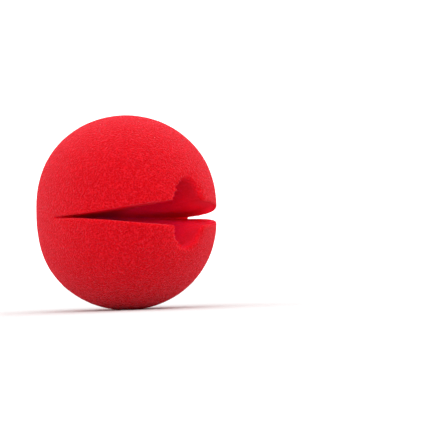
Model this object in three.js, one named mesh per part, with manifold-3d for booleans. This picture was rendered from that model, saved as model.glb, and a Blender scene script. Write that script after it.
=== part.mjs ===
// A clown nose: one ball of open-cell foam, slit across its back, with an oval hole for the wearer's own nose.
// Millimetres, Z up. The ball rests on the XY plane at the origin, and its back, with slit and hole, faces -Y.
// It is pinched at the ends of the slit, as it is held to be put on. The slit is shut at -X and gapes from there.

import * as THREE from "three";
import { mergeVertices } from "three/addons/utils/BufferGeometryUtils.js";
import Module from "manifold-3d";

// The ball
const ballDiameter = 50;
const footDiameter = 6; // the round flat on which the soft ball rests

// The slit, a level cut by a knife from the back
const slitDepth = 26;
const slitDrop = 1.3; // below the middle of the ball
const slitKerf = 0.4; // what stays open where the slit is shut
const mouthGap = 6.3; // how far its lips stand apart in the middle
const openEndShare = 0.84; // the lips' turn at the +X end, as a share of their turn in the middle

// The hole for the wearer's nose, on the level of the slit
const holeWidth = 10;
const holeHeight = 12.5;
const holeDepth = 20;
const holeRounding = 8; // the length over which its end narrows to a point on its axis

// The pinch that opens the slit
const pinchDepth = 2.5; // how far each end of the slit is pressed in
const pinchHeight = 14; // how far above and below the middle it has faded to a third
const pinchRise = 0.8; // how much taller the ball gets

// Facets
const ballSides = 72;
const ballRings = 36;
const slitColumns = 44;
const slitRows = 8;
const holeSides = 40;
const holeRings = 10;
const roundingRings = 6;

const foamRed = 0xd8121f;
const foamRoughness = 0.95;

const ballRadius = ballDiameter / 2;
const footRadius = footDiameter / 2;
const footLevel = -Math.sqrt(ballRadius ** 2 - footRadius ** 2); // from the ball's centre
const slitBottom = -ballRadius + slitDepth; // along Y, and the line that the lips turn about
const holeBottom = -ballRadius + holeDepth;
const backOfCuts = -ballRadius - mouthGap; // where each cutter starts, clear of the ball
const lipTurn = Math.asin((mouthGap - slitKerf) / 2 / slitDepth); // each lip's turn in the middle
const rise = 1 + pinchRise / ballDiameter;

const wasm = await Module();
wasm.setup();

// A three.js geometry as a manifold-3d solid, for cutting. Points that lie within 0.1 micrometre become one.
function solidOf(geometry) {
  const bare = geometry.clone();
  bare.deleteAttribute("normal");
  bare.deleteAttribute("uv");
  const merged = mergeVertices(bare, 1e-4);
  return new wasm.Manifold(
    new wasm.Mesh({
      numProp: 3,
      vertProperties: merged.attributes.position.array,
      triVerts: new Uint32Array(merged.index.array),
    }),
  );
}

// A manifold-3d solid as a three.js geometry with flat facets.
function geometryOf(solid) {
  const { numProp, vertProperties, triVerts } = solid.getMesh();
  const indexed = new THREE.BufferGeometry();
  const buffer = new THREE.InterleavedBuffer(vertProperties, numProp);
  indexed.setAttribute("position", new THREE.InterleavedBufferAttribute(buffer, 3, 0));
  indexed.setIndex(new THREE.BufferAttribute(triVerts, 1));
  return indexed.toNonIndexed();
}

// Moves each point of a geometry by a function that changes the point it is given.
function bend(geometry, move) {
  const position = geometry.attributes.position;
  const point = new THREE.Vector3();
  for (let i = 0; i < position.count; i++) {
    point.fromBufferAttribute(position, i);
    move(point);
    position.setXYZ(i, point.x, point.y, point.z);
  }
  return geometry;
}

// Opens the slit: what lies above it turns up about the slit's bottom line and what lies below it turns down.
// The turn is greatest halfway along the slit, none at its -X end, and fades out round to the front.
function openMouth(point) {
  const fromBottom = slitBottom - point.y;
  const fromEnds = Math.sqrt(Math.max(0, 1 - (point.x / ballRadius) ** 2));
  const endShare = point.x < 0 ? 0 : openEndShare;
  const opening = THREE.MathUtils.lerp(endShare, 1, fromEnds);
  const round = Math.atan2(Math.abs(point.z), fromBottom) / Math.PI;
  const turn = Math.sign(point.z) * lipTurn * opening * (1 - round);
  point.set(
    point.x,
    slitBottom - fromBottom * Math.cos(turn) + point.z * Math.sin(turn),
    point.z * Math.cos(turn) + fromBottom * Math.sin(turn),
  );
}

// Presses the ends of the slit in, most halfway up the ball, which gets taller.
function pinch(point) {
  point.x *= 1 - (pinchDepth / ballRadius) * Math.exp(-((point.z / pinchHeight) ** 2));
  point.z *= rise;
}

// A round ball with the small flat foot, turned about Z.
function uncutBall() {
  const profile = [new THREE.Vector2(0, footLevel)];
  const footAngle = Math.asin(footRadius / ballRadius);
  for (let ring = 0; ring <= ballRings; ring++) {
    const angle = THREE.MathUtils.lerp(footAngle, Math.PI, ring / ballRings);
    const radius = ring === ballRings ? 0 : ballRadius * Math.sin(angle);
    profile.push(new THREE.Vector2(radius, -ballRadius * Math.cos(angle)));
  }
  return new THREE.LatheGeometry(profile, ballSides).rotateX(Math.PI / 2);
}

// The wedge of air in the open slit, past the ball on both sides and behind it.
// Its columns stand closer together towards the slit's ends, where the lips curve most.
function slitCutter() {
  const halfWidth = ballRadius + slitKerf;
  const length = slitBottom - backOfCuts;
  const slab = new THREE.BoxGeometry(2 * halfWidth, length, slitKerf, slitColumns, slitRows, 1);
  slab.translate(0, (slitBottom + backOfCuts) / 2, 0);
  bend(slab, (point) => {
    point.x = halfWidth * Math.sin((point.x / halfWidth) * (Math.PI / 2));
    openMouth(point);
  });
  return slab.translate(0, 0, -slitDrop);
}

// The air in the hole, an oval with a rounded end, parted by the open slit into an upper and a lower half.
function holeCutter() {
  const straightEnd = holeBottom - holeRounding;
  const profile = [new THREE.Vector2(0, backOfCuts)];
  for (let ring = 0; ring < holeRings; ring++) {
    profile.push(new THREE.Vector2(1, THREE.MathUtils.lerp(backOfCuts, straightEnd, ring / holeRings)));
  }
  for (let ring = 0; ring <= roundingRings; ring++) {
    const angle = (Math.PI / 2) * (ring / roundingRings);
    const radius = ring === roundingRings ? 0 : Math.cos(angle);
    profile.push(new THREE.Vector2(radius, straightEnd + holeRounding * Math.sin(angle)));
  }
  const plug = new THREE.LatheGeometry(profile, holeSides);
  plug.scale(holeWidth / 2, 1, holeHeight / 2);
  return bend(plug, openMouth).translate(0, 0, -slitDrop);
}

function foamBall() {
  const cut = solidOf(uncutBall()).subtract(solidOf(slitCutter())).subtract(solidOf(holeCutter()));
  const geometry = bend(geometryOf(cut), pinch);
  geometry.computeVertexNormals();
  const foam = new THREE.MeshStandardMaterial({ color: foamRed, roughness: foamRoughness, metalness: 0 });
  const ball = new THREE.Mesh(geometry, foam);
  ball.name = "foam_ball";
  ball.position.z = -footLevel * rise;
  return ball;
}

const clownNose = new THREE.Group();
clownNose.add(foamBall());

export default clownNose;
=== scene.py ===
# A clown nose: one ball of fine red foam, slit across its back, on a pale floor.
# Everything is in metres. The ball's back, with the slit and the oval hole, faces -Y.

import math

import bpy
from mathutils import Matrix, Vector


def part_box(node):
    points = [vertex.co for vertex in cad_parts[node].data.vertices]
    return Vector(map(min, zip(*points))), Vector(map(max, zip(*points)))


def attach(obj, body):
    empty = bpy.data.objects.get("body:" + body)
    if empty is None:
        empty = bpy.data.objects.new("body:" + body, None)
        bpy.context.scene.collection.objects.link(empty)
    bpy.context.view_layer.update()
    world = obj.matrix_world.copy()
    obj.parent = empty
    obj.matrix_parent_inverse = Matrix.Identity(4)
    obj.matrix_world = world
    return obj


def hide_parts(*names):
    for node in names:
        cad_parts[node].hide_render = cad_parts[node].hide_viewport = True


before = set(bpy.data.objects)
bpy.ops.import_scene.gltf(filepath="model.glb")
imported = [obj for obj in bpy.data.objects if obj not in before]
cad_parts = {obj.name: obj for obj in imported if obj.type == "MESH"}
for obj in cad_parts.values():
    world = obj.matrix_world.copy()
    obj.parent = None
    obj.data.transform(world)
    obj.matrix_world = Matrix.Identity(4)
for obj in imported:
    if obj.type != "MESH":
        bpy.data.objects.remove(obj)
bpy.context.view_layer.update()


# Small helpers for node trees

def link(tree, value, socket):
    # a socket is linked, and anything else is typed in
    if isinstance(value, bpy.types.NodeSocket):
        tree.links.new(value, socket)
    else:
        socket.default_value = value


def addNode(tree, kind, inputs, **choices):
    # the node's own choices are made first, because they decide which inputs it has
    node = tree.nodes.new(kind)
    for name, choice in choices.items():
        setattr(node, name, choice)
    for name, value in inputs.items():
        link(tree, value, node.inputs[name])
    return node


def coordinates(tree, place):
    return addNode(tree, "ShaderNodeSeparateXYZ", {"Vector": place}).outputs


def placeAt(tree, x, y, z):
    return addNode(tree, "ShaderNodeCombineXYZ", {"X": x, "Y": y, "Z": z}).outputs[0]


def mixColour(tree, share, first, second, blend="MIX"):
    node = addNode(tree, "ShaderNodeMix", {}, data_type="RGBA", blend_type=blend, clamp_result=True)
    colours = [socket for socket in node.inputs if socket.type == "RGBA"]
    link(tree, share, node.inputs[0])
    link(tree, first, colours[0])
    link(tree, second, colours[1])
    return next(socket for socket in node.outputs if socket.type == "RGBA")


def mathsIn(tree):
    # gives calc("MULTIPLY", a, b): one Math node, its result ready to use in the next
    def calc(operation, *values, clamp=False):
        node = tree.nodes.new("ShaderNodeMath")
        node.operation = operation
        node.use_clamp = clamp
        for value, socket in zip(values, node.inputs):
            link(tree, value, socket)
        return node.outputs[0]
    return calc


def half(calc, value):
    return calc("MULTIPLY", value, 0.5)


def minus(calc, value):
    return calc("MULTIPLY", value, -1.0)


def squared(calc, value):
    return calc("MULTIPLY", value, value)


def between(calc, share, first, second):
    # the first at a share of 0, the second at 1
    return calc("ADD", first, calc("MULTIPLY", share, calc("SUBTRACT", second, first)))


def ramp(calc, value, ends):
    # 0 up to the first end, 1 from the second
    return calc("DIVIDE", calc("SUBTRACT", value, ends[0]), ends[1] - ends[0], clamp=True)


def newMaterial(name):
    material = bpy.data.materials.new(name)
    material.use_nodes = True
    return material, material.node_tree, material.node_tree.nodes["Principled BSDF"]


# Camera, from the photograph's side: level with the slit, from the back and a little to the left

cameraView = {
    "azimuth": -39.0,  # degrees, 0 looks along +Y
    "elevation": -2.7,
    "roll": -1.8,
    "distance": 0.374,  # to the middle of the ball
    "lens": 119.6,  # millimetres, like the sensor
    "sensor": 36.0,
    "nearest": 0.01,  # nothing nearer to the camera is drawn
    "imageSize": 430,  # pixels, both ways
    "ballInImage": (126.4, 212.4),  # the middle of the ball, in pixels from the top left
}


def makeCamera(ballMiddle):
    view = cameraView
    azimuth, elevation = math.radians(view["azimuth"]), math.radians(view["elevation"])
    outwards = Vector((
        math.sin(azimuth) * math.cos(elevation),
        -math.cos(azimuth) * math.cos(elevation),
        math.sin(elevation),
    ))
    data = bpy.data.cameras.new("photoCamera")
    data.lens = view["lens"]
    data.sensor_width = view["sensor"]
    data.clip_start = view["nearest"]
    camera = bpy.data.objects.new("photoCamera", data)
    bpy.context.collection.objects.link(camera)
    # the camera is turned until the ball's middle falls where the photograph has it
    pixels = view["lens"] / view["sensor"] * view["imageSize"]
    imageMiddle = view["imageSize"] / 2
    x, y = view["ballInImage"]
    ray = Vector(((x - imageMiddle) / pixels, (imageMiddle - y) / pixels, -1)).normalized()
    facing = (-outwards).to_track_quat("-Z", "Y").to_matrix()
    roll = Matrix.Rotation(math.radians(view["roll"]), 3, "Z")
    aim = ray.rotation_difference(Vector((0, 0, -1))).to_matrix()
    turn = (facing @ roll @ aim).to_4x4()
    camera.matrix_world = Matrix.Translation(ballMiddle + outwards * view["distance"]) @ turn
    bpy.context.scene.camera = camera
    print("camera", [round(v, 4) for v in camera.location])


# Light: white all round, and one large soft light from high behind the camera

studio = {
    "world": 1.55,
    "keyPower": 0.9,
    "keySpread": 50.0,  # degrees across, as soft as a large softbox
    "keyFrom": (-0.50, -0.68, 0.50),  # only its direction counts
    "floorRadius": 3.0,
    "floorSides": 128,
    "floorColour": (0.65, 0.65, 0.65, 1),
}


def makeStudio():
    world = bpy.data.worlds.new("paleStudio")
    world.use_nodes = True
    background = world.node_tree.nodes["Background"]
    background.inputs["Color"].default_value = (1, 1, 1, 1)
    background.inputs["Strength"].default_value = studio["world"]
    bpy.context.scene.world = world
    bpy.context.scene.view_settings.view_transform = "Standard"

    key = bpy.data.lights.new("softKey", "SUN")
    key.energy = studio["keyPower"]
    key.angle = math.radians(studio["keySpread"])
    keyObject = bpy.data.objects.new("softKey", key)
    keyObject.rotation_euler = Vector(studio["keyFrom"]).to_track_quat("Z", "Y").to_euler()
    bpy.context.collection.objects.link(keyObject)

    bpy.ops.mesh.primitive_circle_add(
        vertices=studio["floorSides"], radius=studio["floorRadius"], fill_type="NGON")
    floor = bpy.context.object
    floor.name = "paleFloor"
    material, _, shader = newMaterial("palePaper")
    shader.inputs["Base Color"].default_value = studio["floorColour"]
    shader.inputs["Roughness"].default_value = 1.0
    shader.inputs["Specular IOR Level"].default_value = 0.0
    floor.data.materials.append(material)
    print("studio")


# Red foam. The ball is ground round, which leaves a fine nap over its cells, and the cuts are knife-smooth.

foamFinish = {
    # each red is given down in the cells and on the walls between them, and each place from its start
    # to where it counts in full. The darker cells and lighter, pinker walls are partly the foam's grain and
    # partly painted shade in the cells and painted glints where the walls catch light
    "groundRed": ((0.492, 0.0000, 0.0036, 1), (0.614, 0.0082, 0.0172, 1)),  # the ground outside
    "cutRed": ((0.55, 0.0070, 0.019, 1), (0.61, 0.0086, 0.023, 1)),  # inside the cuts
    "cutAt": (0.0001, 0.0016),  # in depth below the outside
    "glowRed": ((0.92, 0.0060, 0.031, 1), (1.00, 0.0080, 0.037, 1)),  # painted glow: a lighter red where light comes through the foam
    "deepAt": (0.001, 0.006),  # that is further in, in depth
    "openAt": (-0.004, 0.012),  # but only towards the slit's open end, along X
    "thinAt": (0.009, 0.018),  # and where the lips are thin, along X from the middle either way
    "farGlow": (0.06, 0.0, 0.04, 1),  # painted glow, added far in, for the light that the red foam all round casts on the foam
    "farAt": (0.005, 0.016),  # in depth
    "cellSize": 0.00043,
    "cellShare": 0.95,  # of the cells in the relief, beside the grain
    "grainSize": 0.00043,
    "grainDetail": 2.0,
    "middle": 0.83,  # the relief at which the walls begin
    "contrast": 2.0,
    "roughness": 1.0,
    "specular": 0.02,
    "scatterWeight": 0.7,
    "scatterRadius": (1.0, 0.12, 0.10),
    "sheenRoughness": 0.5,
    "sheenTint": (0.85, 0.50, 0.60, 1),
    # spread is how far light goes in the foam
    "groundFoam": {"relief": 0.00034, "bump": 0.9, "sheen": 0.12, "spread": 0.003},
    "cutFoam": {"relief": 0.00015, "bump": 0.6, "sheen": 0.0, "spread": 0.0055},
}


def foamRelief(tree, place):
    # cells with a fine grain over them, and higher on the walls between the cells
    calc = mathsIn(tree)
    cells = addNode(tree, "ShaderNodeTexVoronoi", {"Vector": place, "Scale": 1 / foamFinish["cellSize"]})
    grain = addNode(tree, "ShaderNodeTexNoise", {
        "Vector": place,
        "Scale": 1 / foamFinish["grainSize"],
        "Detail": foamFinish["grainDetail"],
    })
    cellRelief = calc("MULTIPLY", cells.outputs["Distance"], foamFinish["cellShare"])
    return calc("ADD", cellRelief, grain.outputs["Fac"])


def foamRed(tree, place, relief):
    calc = mathsIn(tree)
    foam = foamFinish
    # the walls' share: partly the foam's grain, partly painted shade in the cells and painted glints on the
    # walls
    walls = calc("MULTIPLY", calc("SUBTRACT", relief, foam["middle"]), foam["contrast"], clamp=True)
    # the third red, deep, is the painted glow
    ground, cut, deep = (mixColour(tree, walls, *foam[red]) for red in ("groundRed", "cutRed", "glowRed"))
    depth = addNode(tree, "ShaderNodeAttribute", {}, attribute_name="cutDepth").outputs["Fac"]
    x = coordinates(tree, place)["X"]
    inCut = ramp(calc, depth, foam["cutAt"])
    # painted glow: the cut is painted lighter further in towards the slit's open end, and where the lips are
    # thin, for light that comes through the foam
    lit = calc("MULTIPLY", ramp(calc, depth, foam["deepAt"]), ramp(calc, x, foam["openAt"]))
    thin = calc("MULTIPLY", inCut, ramp(calc, calc("ABSOLUTE", x), foam["thinAt"]))
    red = mixColour(tree, inCut, ground, cut)
    red = mixColour(tree, calc("MAXIMUM", lit, thin), red, deep)
    # painted glow added far into the cut
    return mixColour(tree, ramp(calc, depth, foam["farAt"]), red, foam["farGlow"], blend="ADD")


def makeFoam(name):
    material, tree, shader = newMaterial(name)
    finish = foamFinish[name]
    place = tree.nodes.new("ShaderNodeTexCoord").outputs["Object"]
    relief = foamRelief(tree, place)
    bump = addNode(tree, "ShaderNodeBump", {
        "Height": relief,
        "Strength": finish["bump"],
        "Distance": finish["relief"],
    })
    look = {
        "Base Color": foamRed(tree, place, relief),
        "Normal": bump.outputs["Normal"],
        "Roughness": foamFinish["roughness"],
        "Specular IOR Level": foamFinish["specular"],
        "Subsurface Weight": foamFinish["scatterWeight"],
        "Subsurface Scale": finish["spread"],
        "Subsurface Radius": foamFinish["scatterRadius"],
        "Sheen Weight": finish["sheen"],
        "Sheen Roughness": foamFinish["sheenRoughness"],
        "Sheen Tint": foamFinish["sheenTint"],
    }
    for socketName, value in look.items():
        link(tree, value, shader.inputs[socketName])
    print("finish", name)
    return material


# The foam ball. Its shape is a rule, so one node tree makes it: a block of space is filled with the distance
# to the foam's surface as the ball was before the slit opened, the surface is drawn through it, and then the
# slit is opened and its ends are pinched in.

foamBall = {
    "Radius": 0.025,
    "Foot radius": 0.003,  # the small round flat that the ball rests on
    "Slit depth": 0.026,
    "Slit drop": 0.0013,  # below the middle of the ball
    "Slit kerf": 0.0004,
    "Mouth gap": 0.0063,  # how far the lips stand apart halfway along the slit
    "Open end share": 0.23,  # of the turn halfway along the slit, at the ball's own side
    "Open end fading": 4.0,  # the higher, the nearer to that side the lips draw together
    "Hole width": 0.0094,
    "Hole shift": 0.0002,  # towards the slit's open end
    "Hole height": 0.0115,
    "Hole roundness": 1.88,  # 2 is an oval, and less is more pointed at top and bottom
    "Hole depth": 0.020,
    "Hole rounding": 0.008,
    "Pinch depth": 0.0025,  # how far each end of the slit is pressed in
    "Pinch height": 0.014,  # how far above and below the middle it has faded to a third
    "Rise": 0.0008,  # how much taller the ball gets
    "Voxel": 0.000383,
    "Block margin": 6.0,  # voxels of the block past the ball
    "Working kerf": 0.0013,  # the slit while it is drawn, wide enough for the voxels
    "Kerf blend": 0.004,
    "Crisp rim": 0.0012,  # over which the hole's rim rounds off towards the slit's shut end
    "Soft rim": 0.0032,  # and towards its open end
    "Inner rounding": 0.0055,  # and where the hole meets the slit, far in
    "Inner depth": 0.008,
    "Lip rounding": 0.0005,
    "Rim tear": 0.0024,
    "Lip tear": 0.00015,
    "Tear size": 0.0008,
    "Tear detail": 1.0,
    "Tear seed": 7,
    "Least points": 1000,  # what hangs together by fewer points is a loose crumb, and goes
    "Pore depth": 0.00004,
    "Pore size": 0.0010,
    "Pore detail": 2.0,
    "Pore seed": 10,
    "Swell depth": 0.00008,
    "Swell size": 0.009,
    "Swell detail": 1.0,
    "Swell seed": 12,
    "Cut from": 0.0005,  # below the ball's skin the foam counts as cut
}


def seededNoise(tree, size, position, name):
    # about -1 to 1
    calc = mathsIn(tree)
    noise = addNode(tree, "ShaderNodeTexNoise", {
        "Vector": position,
        "W": size[f"{name} seed"],
        "Scale": calc("DIVIDE", 1.0, size[f"{name} size"]),
        "Detail": size[f"{name} detail"],
    }, noise_dimensions="4D", normalize=False)
    return noise.outputs["Fac"]


def closedKerf(calc, size, above, fromBottom):
    # the working kerf closes to the real one, and the foam beside it follows less and less
    kerf = half(calc, size["Slit kerf"])
    wide = half(calc, size["Working kerf"])
    spare = calc("SUBTRACT", wide, kerf)
    beyond = calc("DIVIDE", calc("MAXIMUM", calc("SUBTRACT", above, wide), 0.0), size["Kerf blend"])
    followed = calc("MULTIPLY", spare, calc("EXPONENT", minus(calc, beyond)))
    inside = calc("MULTIPLY", calc("MINIMUM", above, wide), calc("DIVIDE", kerf, wide))
    outside = calc("SUBTRACT", calc("MAXIMUM", above, wide), followed)
    closed = between(calc, calc("GREATER_THAN", above, wide), inside, outside)
    behind = calc("ADD", calc("DIVIDE", fromBottom, size["Kerf blend"]), 1.0, clamp=True)
    return between(calc, behind, above, closed)


def lipOpening(calc, size, x):
    # the share of the lips' turn: all of it halfway along the slit, none at its shut end
    across = calc("DIVIDE", x, size["Radius"])
    shutHalf = calc("SQRT", calc("MAXIMUM", calc("SUBTRACT", 1.0, squared(calc, across)), 0.0))
    closing = calc("POWER", calc("ABSOLUTE", across), size["Open end fading"])
    drawn = calc("MULTIPLY", closing, calc("SUBTRACT", 1.0, size["Open end share"]))
    openHalf = calc("SUBTRACT", 1.0, drawn)
    return between(calc, calc("GREATER_THAN", x, 0.0), shutHalf, openHalf)


def openedPlace(calc, size, x, y, z):
    # where a point of the uncut, unpinched ball goes when the slit opens; z is from the slit's level
    slitBottom = calc("SUBTRACT", size["Slit depth"], size["Radius"])
    fromBottom = calc("SUBTRACT", slitBottom, y)
    shut = closedKerf(calc, size, calc("ABSOLUTE", z), fromBottom)

    # each lip turns about the slit's bottom, less and less round to the front
    halfGap = half(calc, calc("SUBTRACT", size["Mouth gap"], size["Slit kerf"]))
    lipTurn = calc("ARCSINE", calc("DIVIDE", halfGap, size["Slit depth"]))
    turn = calc("MULTIPLY", lipTurn, lipOpening(calc, size, x))
    reach = calc("SQRT", calc("ADD", squared(calc, fromBottom), squared(calc, shut)))
    angle = calc("ARCTAN2", shut, fromBottom)
    fading = calc("SUBTRACT", 1.0, calc("DIVIDE", turn, math.pi))
    turned = calc("ADD", turn, calc("MULTIPLY", angle, fading))
    newY = calc("SUBTRACT", slitBottom, calc("MULTIPLY", reach, calc("COSINE", turned)))
    newZ = calc("MULTIPLY", calc("SIGN", z), calc("MULTIPLY", reach, calc("SINE", turned)))
    return newY, calc("SUBTRACT", newZ, size["Slit drop"]), shut


def ballDistance(calc, size, x, openY, openZ):
    squares = [squared(calc, v) for v in (x, openY, openZ)]
    away = calc("SQRT", calc("ADD", calc("ADD", squares[0], squares[1]), squares[2]))
    return calc("SUBTRACT", away, size["Radius"])


def slitDistance(calc, size, y, z, tears):
    high = calc("SUBTRACT", calc("ABSOLUTE", z), half(calc, size["Working kerf"]))
    deep = calc("SUBTRACT", y, calc("SUBTRACT", size["Slit depth"], size["Radius"]))
    return calc("ADD", calc("MAXIMUM", high, deep), calc("MULTIPLY", tears, size["Lip tear"]))


def holeDistance(calc, size, x, y, shut, tears):
    # the hole's rim is torn most towards the slit's shut end
    halfWidth = half(calc, size["Hole width"])
    wideShare = calc("DIVIDE", calc("SUBTRACT", x, size["Hole shift"]), halfWidth)
    highShare = calc("DIVIDE", shut, half(calc, size["Hole height"]))
    holeBottom = calc("SUBTRACT", size["Hole depth"], size["Radius"])
    straightEnd = calc("SUBTRACT", holeBottom, size["Hole rounding"])
    pastStraight = calc("MAXIMUM", calc("SUBTRACT", y, straightEnd), 0.0)
    deepShare = calc("DIVIDE", pastStraight, size["Hole rounding"])
    powers = [calc("POWER", calc("ABSOLUTE", v), size["Hole roundness"]) for v in (wideShare, highShare)]
    fromAxis = calc("POWER", calc("ADD", *powers), calc("DIVIDE", 2.0, size["Hole roundness"]))
    fromAxis = calc("SQRT", calc("ADD", fromAxis, squared(calc, deepShare)))
    toHole = calc("MULTIPLY", calc("SUBTRACT", fromAxis, 1.0), halfWidth)
    towardsOpen = calc("ADD", half(calc, wideShare), 0.5, clamp=True)
    rimTear = calc("MULTIPLY", size["Rim tear"], calc("SUBTRACT", 1.0, towardsOpen))
    return calc("ADD", toHole, calc("MULTIPLY", tears, rimTear)), towardsOpen


def footDepthOf(calc, size):
    # from the ball's middle down to its foot
    return calc("SQRT", calc("SUBTRACT", squared(calc, size["Radius"]), squared(calc, size["Foot radius"])))


def foamDistance(calc, size, place, openZ, shut, toBall, noise):
    # the ball on its foot, less the slit and the hole
    x, y, z = place
    toFoot = calc("SUBTRACT", minus(calc, openZ), footDepthOf(calc, size))

    # the cuts are torn a little where they leave the ball
    tearing = calc("EXPONENT", calc("DIVIDE", calc("MINIMUM", toBall, 0.0), size["Tear size"]))
    tears = calc("MULTIPLY", noise, tearing)
    toSlit = slitDistance(calc, size, y, z, tears)
    toHole, towardsOpen = holeDistance(calc, size, x, y, shut, tears)

    toFoam = calc("MAXIMUM", toBall, toFoot)
    toFoam = calc("SMOOTH_MAX", toFoam, minus(calc, toSlit), size["Lip rounding"])
    rounding = between(calc, towardsOpen, size["Crisp rim"], size["Soft rim"])
    inside = calc("DIVIDE", minus(calc, toBall), size["Inner depth"], clamp=True)
    rounding = between(calc, inside, rounding, size["Inner rounding"])
    return calc("SMOOTH_MAX", toFoam, minus(calc, toHole), rounding)


def voxelSurface(tree, size, toFoam):
    # the surface is drawn through a block of space that is a little larger than the ball
    calc = mathsIn(tree)
    high = calc("ADD", size["Radius"], calc("MULTIPLY", size["Voxel"], size["Block margin"]))
    low = minus(calc, high)
    steps = calc("ROUND", calc("DIVIDE", calc("MULTIPLY", high, 2.0), size["Voxel"]))
    block = addNode(tree, "GeometryNodeVolumeCube", {
        "Density": minus(calc, toFoam),
        "Background": -1.0,
        "Min": placeAt(tree, low, low, low),
        "Max": placeAt(tree, high, high, high),
        "Resolution X": steps,
        "Resolution Y": steps,
        "Resolution Z": steps,
    })
    surface = addNode(tree, "GeometryNodeVolumeToMesh", {"Volume": block.outputs[0], "Threshold": 0.0})
    return surface.outputs[0]


def withoutCrumbs(tree, size, surface):
    # the tearing leaves a few loose crumbs in the air, which are taken away
    calc = mathsIn(tree)
    island = tree.nodes.new("GeometryNodeInputMeshIsland").outputs["Island Index"]
    counted = addNode(tree, "GeometryNodeAccumulateField", {
        "Value": 1,
        "Group ID": island,
    }, data_type="INT", domain="POINT")
    whole = addNode(tree, "GeometryNodeDeleteGeometry", {
        "Geometry": surface,
        "Selection": calc("LESS_THAN", counted.outputs["Total"], size["Least points"]),
    }, domain="POINT")
    return whole.outputs[0]


def pinchedPlace(tree, size, x, openY, openZ):
    calc = mathsIn(tree)
    fromMiddle = calc("DIVIDE", openZ, size["Pinch height"])
    squeeze = calc("EXPONENT", minus(calc, squared(calc, fromMiddle)))
    pinch = calc("DIVIDE", size["Pinch depth"], size["Radius"])
    narrowing = calc("SUBTRACT", 1.0, calc("MULTIPLY", pinch, squeeze))
    taller = calc("ADD", 1.0, calc("DIVIDE", half(calc, size["Rise"]), size["Radius"]))
    fromFloor = calc("ADD", openZ, footDepthOf(calc, size))
    return placeAt(tree, calc("MULTIPLY", x, narrowing), openY, calc("MULTIPLY", fromFloor, taller))


def porousSurface(tree, size, surface, position):
    # pores and a faint unevenness, along the surface's own direction
    calc = mathsIn(tree)
    pores = calc("MULTIPLY", seededNoise(tree, size, position, "Pore"), size["Pore depth"])
    swells = calc("MULTIPLY", seededNoise(tree, size, position, "Swell"), size["Swell depth"])
    normal = tree.nodes.new("GeometryNodeInputNormal").outputs[0]
    lift = addNode(tree, "ShaderNodeVectorMath", {
        "Vector": normal,
        "Scale": calc("ADD", pores, swells),
    }, operation="SCALE")
    porous = addNode(tree, "GeometryNodeSetPosition", {"Geometry": surface, "Offset": lift.outputs[0]})

    # nothing goes below the floor
    x, y, z = coordinates(tree, position)
    kept = placeAt(tree, x, y, calc("MAXIMUM", z, 0.0))
    onFloor = addNode(tree, "GeometryNodeSetPosition", {"Geometry": porous.outputs[0], "Position": kept})
    return onFloor.outputs[0]


def finishedSurface(tree, size, surface, skinMaterial, cutMaterial):
    calc = mathsIn(tree)
    smooth = addNode(tree, "GeometryNodeSetShadeSmooth", {"Geometry": surface})
    realised = addNode(tree, "GeometryNodeRealizeInstances", {"Geometry": smooth.outputs[0]})
    skin = addNode(tree, "GeometryNodeSetMaterial", {
        "Geometry": realised.outputs[0],
        "Material": skinMaterial,
    })
    depth = addNode(tree, "GeometryNodeInputNamedAttribute", {"Name": "cutDepth"}).outputs["Attribute"]
    painted = addNode(tree, "GeometryNodeSetMaterial", {
        "Geometry": skin.outputs[0],
        "Selection": calc("GREATER_THAN", depth, size["Cut from"]),
        "Material": cutMaterial,
    })
    return painted.outputs[0]


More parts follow.
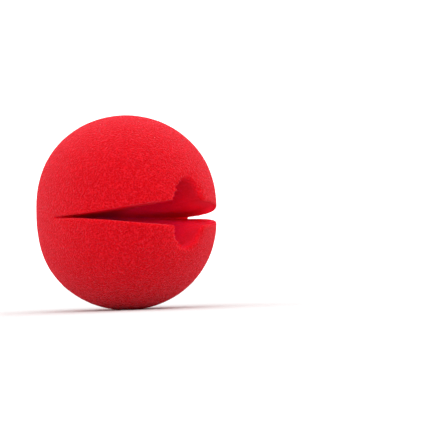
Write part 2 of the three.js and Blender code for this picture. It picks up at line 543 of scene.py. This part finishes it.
def foamBallTree(skinMaterial, cutMaterial):
    tree = bpy.data.node_groups.new("foamBall", "GeometryNodeTree")
    sockets = {}
    for name, value in foamBall.items():
        kind = "NodeSocketInt" if isinstance(value, int) else "NodeSocketFloat"
        sockets[name] = tree.interface.new_socket(name, in_out="INPUT", socket_type=kind)
    tree.interface.new_socket("Geometry", in_out="OUTPUT", socket_type="NodeSocketGeometry")
    group = tree.nodes.new("NodeGroupInput")
    size = {name: group.outputs[name] for name in foamBall}
    calc = mathsIn(tree)
    position = tree.nodes.new("GeometryNodeInputPosition").outputs[0]
    x, y, z = coordinates(tree, position)

    openY, openZ, shut = openedPlace(calc, size, x, y, z)
    toBall = ballDistance(calc, size, x, openY, openZ)
    noise = seededNoise(tree, size, position, "Tear")
    toFoam = foamDistance(calc, size, (x, y, z), openZ, shut, toBall, noise)
    surface = withoutCrumbs(tree, size, voxelSurface(tree, size, toFoam))

    # how deep in a cut the surface lies is kept for the finishes
    marked = addNode(tree, "GeometryNodeStoreNamedAttribute", {
        "Geometry": surface,
        "Name": "cutDepth",
        "Value": calc("MAXIMUM", minus(calc, toBall), 0.0),
    }, data_type="FLOAT", domain="POINT")
    opened = addNode(tree, "GeometryNodeSetPosition", {
        "Geometry": marked.outputs[0],
        "Position": pinchedPlace(tree, size, x, openY, openZ),
    })
    porous = porousSurface(tree, size, opened.outputs[0], position)
    result = finishedSurface(tree, size, porous, skinMaterial, cutMaterial)
    addNode(tree, "NodeGroupOutput", {"Geometry": result})
    return tree, sockets


def makeFoamBall(skinMaterial, cutMaterial):
    tree, sockets = foamBallTree(skinMaterial, cutMaterial)
    maker = bpy.data.objects.new("foamBallMaker", bpy.data.meshes.new("foamBallSeed"))
    bpy.context.collection.objects.link(maker)
    modifier = maker.modifiers.new("foamBall", "NODES")
    modifier.node_group = tree
    for name, value in foamBall.items():
        modifier[sockets[name].identifier] = value
    evaluated = maker.evaluated_get(bpy.context.evaluated_depsgraph_get())
    mesh = bpy.data.meshes.new_from_object(evaluated)
    maker.modifiers.clear()
    bpy.data.objects.remove(maker)
    ball = bpy.data.objects.new("foamBallSoft", mesh)
    bpy.context.collection.objects.link(ball)
    triangles = sum(len(p.vertices) - 2 for p in mesh.polygons)
    print("foam ball", len(mesh.vertices), "points", triangles, "triangles")
    return ball


lowest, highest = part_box("foam_ball")
ballMiddle = Vector((0, 0, (lowest[2] + highest[2]) / 2))
makeCamera(ballMiddle)
makeStudio()
ball = makeFoamBall(makeFoam("groundFoam"), makeFoam("cutFoam"))
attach(ball, "root")
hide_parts("foam_ball")
